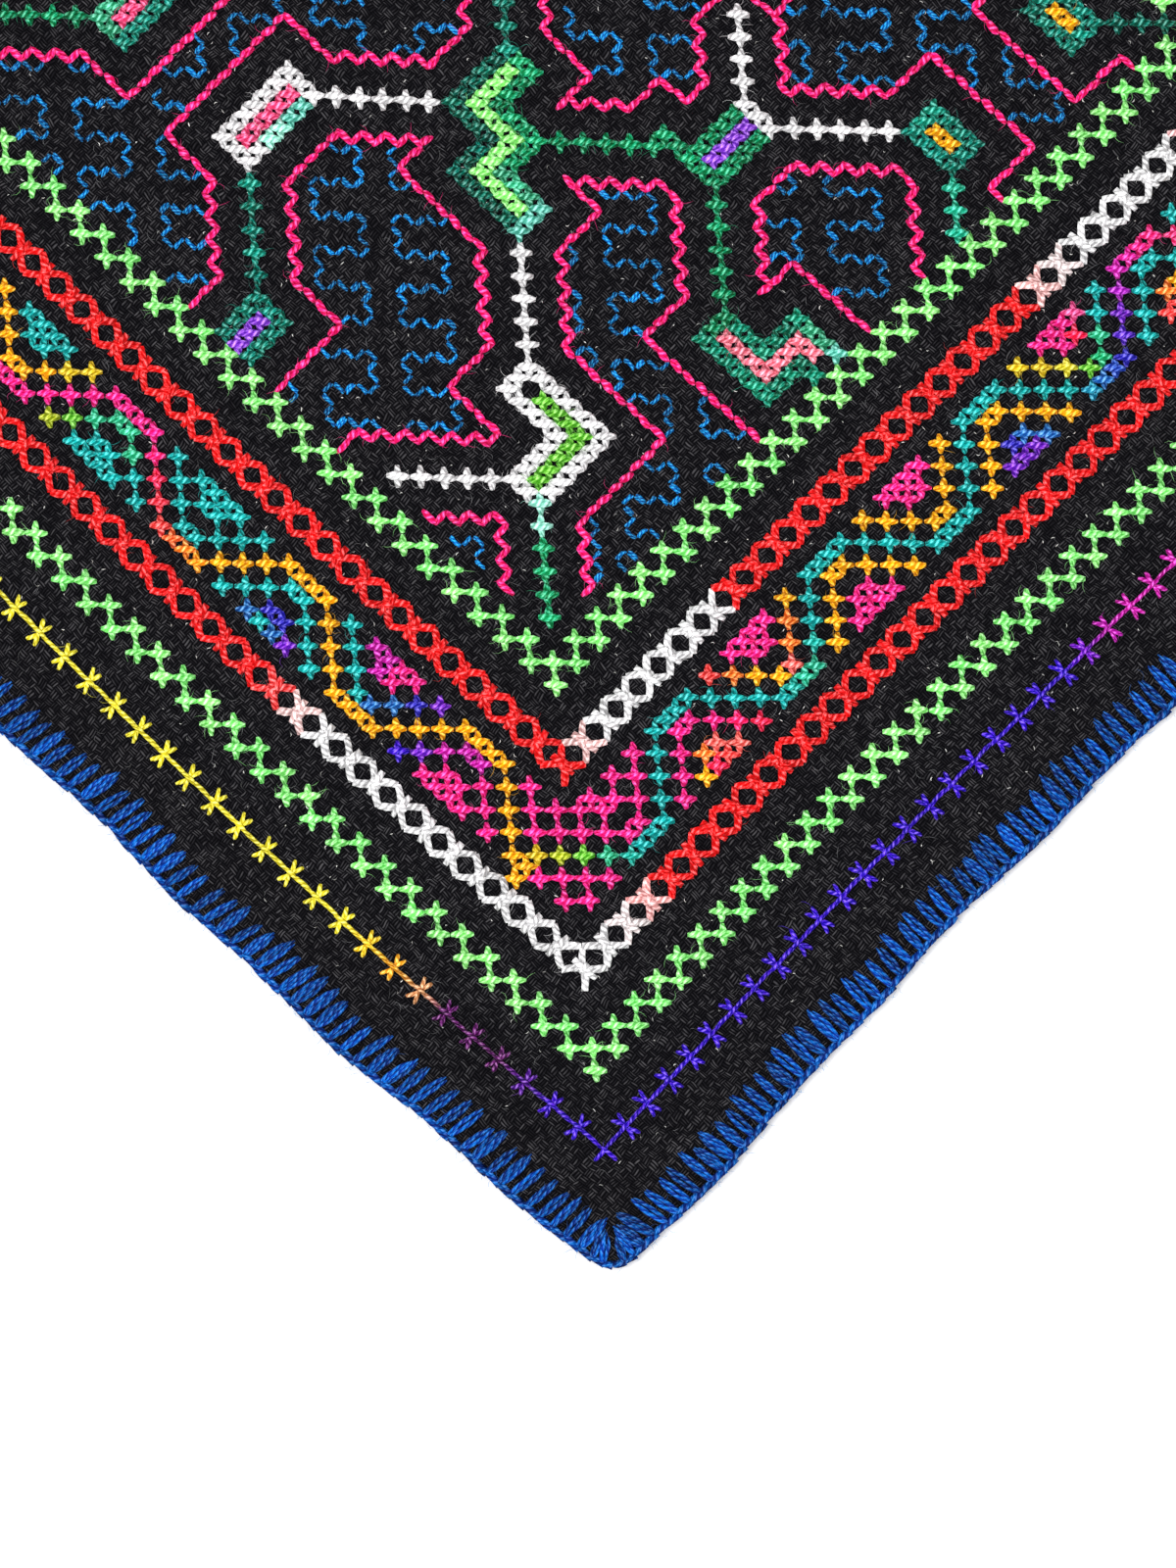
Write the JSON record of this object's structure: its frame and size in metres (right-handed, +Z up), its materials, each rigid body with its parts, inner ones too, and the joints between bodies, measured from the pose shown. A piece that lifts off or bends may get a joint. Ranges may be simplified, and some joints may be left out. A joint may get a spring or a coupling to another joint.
{
  "type": "embroidered cloth",
  "caption": "Square embroidered cloth lying flat: coarse black weave, stepped line work in bright yarn inside framed borders, edges bound in blue blanket stitch.",
  "frame": {"origin": "under the middle of the cloth, on the surface it lies on", "axes": "+Z up through the cloth, X along its shorter sides and Y along its longer ones, the pictured corner towards -X and -Y"},
  "size_m": [0.3122, 0.3334, 0.0032],
  "materials": {
    "ground": "matte coarse weave",
    "edging": "matte yarn",
    "stem": "matte yarn, variegated",
    "zigzag": "matte yarn",
    "crosses_red": "matte yarn",
    "crosses_white": "matte yarn",
    "vine": "matte yarn, variegated",
    "line": "matte yarn",
    "motif": "matte yarn, variegated"
  },
  "bodies": {
    "root": {"cloth": "ground", "crosses_inner_east": "crosses_red", "crosses_inner_north": "crosses_red", "crosses_inner_south": "crosses_red", "crosses_inner_west": "crosses_red", "crosses_outer_east": "crosses_red", "crosses_outer_north": "crosses_red", "crosses_outer_south": "crosses_red", "crosses_outer_west": "crosses_white", "edging_east": "edging", "edging_north": "edging", "edging_south": "edging", "edging_west": "edging", "line_arrow_a": "line", "line_arrow_b": "line", "line_bell_a": "line", "line_bell_b": "line", "line_hook_a": "line", "line_hook_b": "line", "line_house_a": "line", "line_house_b": "line", "line_net_a": "line", "line_net_b": "line", "motif_bar_b": "motif", "motif_corner_a": "motif", "motif_corner_b": "motif", "motifs_a": "motif", "motifs_b": "motif", "stem_east": "stem", "stem_north": "stem", "stem_south": "stem", "stem_west": "stem", "vine_east": "vine", "vine_north": "vine", "vine_south": "vine", "vine_west": "vine", "zigzag_inner_east": "zigzag", "zigzag_inner_north": "zigzag", "zigzag_inner_south": "zigzag", "zigzag_inner_west": "zigzag", "zigzag_outer_east": "zigzag", "zigzag_outer_north": "zigzag", "zigzag_outer_south": "zigzag", "zigzag_outer_west": "zigzag"}
  },
  "joints": []
}
